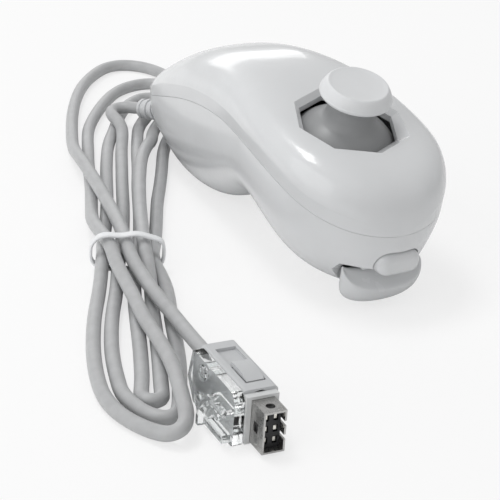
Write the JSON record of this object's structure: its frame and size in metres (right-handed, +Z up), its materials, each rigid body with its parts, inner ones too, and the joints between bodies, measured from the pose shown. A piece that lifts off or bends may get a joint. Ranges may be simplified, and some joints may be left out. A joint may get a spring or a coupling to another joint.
{
  "type": "one-handed motion game controller",
  "caption": "Egg-shaped handheld controller with a thumbstick in an octagonal gate, an oval button and a trigger at the nose, and a cord tied in a hank that ends in a clear and grey plug.",
  "frame": {"origin": "on the floor under the middle of the handle: centre of the handle's base box, without the cord, its relief and the plug", "axes": "+X to the holder's right as the thumb sees it, +Y from the nose with the front controls to the tail with the cord, +Z up through the thumbstick"},
  "size_m": [0.1003, 0.2022, 0.0486],
  "materials": {
    "casing": "light grey moulded plastic with a soft gloss",
    "controls": "light grey moulded plastic with a soft gloss",
    "stick_cap": "pale matte grip plastic",
    "boot": "darker matte grey",
    "relief": "pale grey flexible sleeve",
    "cord": "light grey smooth cord jacket",
    "tie": "thin white tie",
    "clear": "clear moulded plastic",
    "plug_grey": "mid grey satin plastic",
    "frame_pale": "pale plastic",
    "metal": "stamped plated steel",
    "black": "black moulded plastic",
    "contact": "plated contact",
    "steel": "plain steel",
    "sensor": "green moulded sensor",
    "board": "green circuit board",
    "ceramic": "tan ceramic",
    "pads": "dark grey silicone rubber"
  },
  "bodies": {
    "handle": {"top_shell": "casing", "bottom_shell": "casing", "strain_relief": "relief", "lead_out": "cord", "cord_hank": "cord", "lead_to_plug": "cord", "hank_tie": "tie", "plug_case": "clear", "plug_housing": "plug_grey", "connector_shell": "metal", "connector_insulator": "black", "connector_contacts": "contact", "plug_front_frame": "frame_pale", "plug_screws": "clear", "shell_screws": "steel", "stick_base": "steel", "stick_return_spring": "steel", "fore_aft_sensor": "sensor", "side_sensor": "sensor", "main_board": "board", "controller_chip": "black", "motion_sensor": "black", "board_capacitors": "ceramic", "board_screws": "steel", "lead_socket": "frame_pale", "lead_plug": "frame_pale", "inner_lead": "cord", "button_board": "board", "button_pads": "pads", "trigger_pin": "steel"},
    "fore_aft": {"fore_aft_yoke": "black"},
    "stick": {"stick_shaft": "frame_pale", "stick_boot": "boot", "stick_cap": "stick_cap"},
    "sideways": {"side_yoke": "black"},
    "plate": {"return_plate": "black"},
    "button": {"small_button": "controls"},
    "trigger": {"trigger": "controls"},
    "latch": {"plug_latch": "plug_grey"},
    "hook": {"plug_hook": "clear"}
  },
  "joints": [
    {"name": "fore_aft_tilt", "type": "hinge", "parent": "handle", "child": "fore_aft", "pos_m": [0, -0.02546, 0.02386], "axis": [1, 0, 0], "range_deg": [-14.5, 14.5], "stiffness_Nm_per_rad": 0.03},
    {"name": "sideways_tilt", "type": "hinge", "parent": "fore_aft", "child": "stick", "pos_m": [0, -0.02546, 0.02386], "axis": [0, 0.97, 0.2433], "range_deg": [-14.5, 14.5], "stiffness_Nm_per_rad": 0.03},
    {"name": "side_yoke_turn", "type": "hinge", "parent": "handle", "child": "sideways", "pos_m": [0, -0.02546, 0.02386], "axis": [0, 0.97, 0.2433], "range_deg": [-14.5, 14.5]},
    {"name": "plate_travel", "type": "slide", "parent": "handle", "child": "plate", "axis": [0, -0.2433, 0.97], "range_m": [-0.0003, 0], "stiffness_N_per_m": 600, "deforming": ["stick_return_spring"]},
    {"name": "button_press", "type": "slide", "parent": "handle", "child": "button", "axis": [0, 1, 0], "range_m": [0, 0.0012], "stiffness_N_per_m": 500, "springref_m": -0.0004},
    {"name": "trigger_pull", "type": "hinge", "parent": "handle", "child": "trigger", "pos_m": [0, -0.042, 0.0148], "axis": [1, 0, 0], "range_deg": [0, 5], "stiffness_Nm_per_rad": 0.15, "springref_deg": -2.86},
    {"name": "latch_press", "type": "slide", "parent": "handle", "child": "latch", "axis": [0, 0, -1], "range_m": [0, 0.0006], "stiffness_N_per_m": 800, "springref_m": -0.0003},
    {"name": "hook_drop", "type": "slide", "parent": "handle", "child": "hook", "axis": [0, 0, -1], "range_m": [0, 0.0006]}
  ],
  "couplings": [
    {"joint": "side_yoke_turn", "follows": "sideways_tilt", "ratio": 1},
    {"joint": "hook_drop", "follows": "latch_press", "ratio": 1}
  ]
}
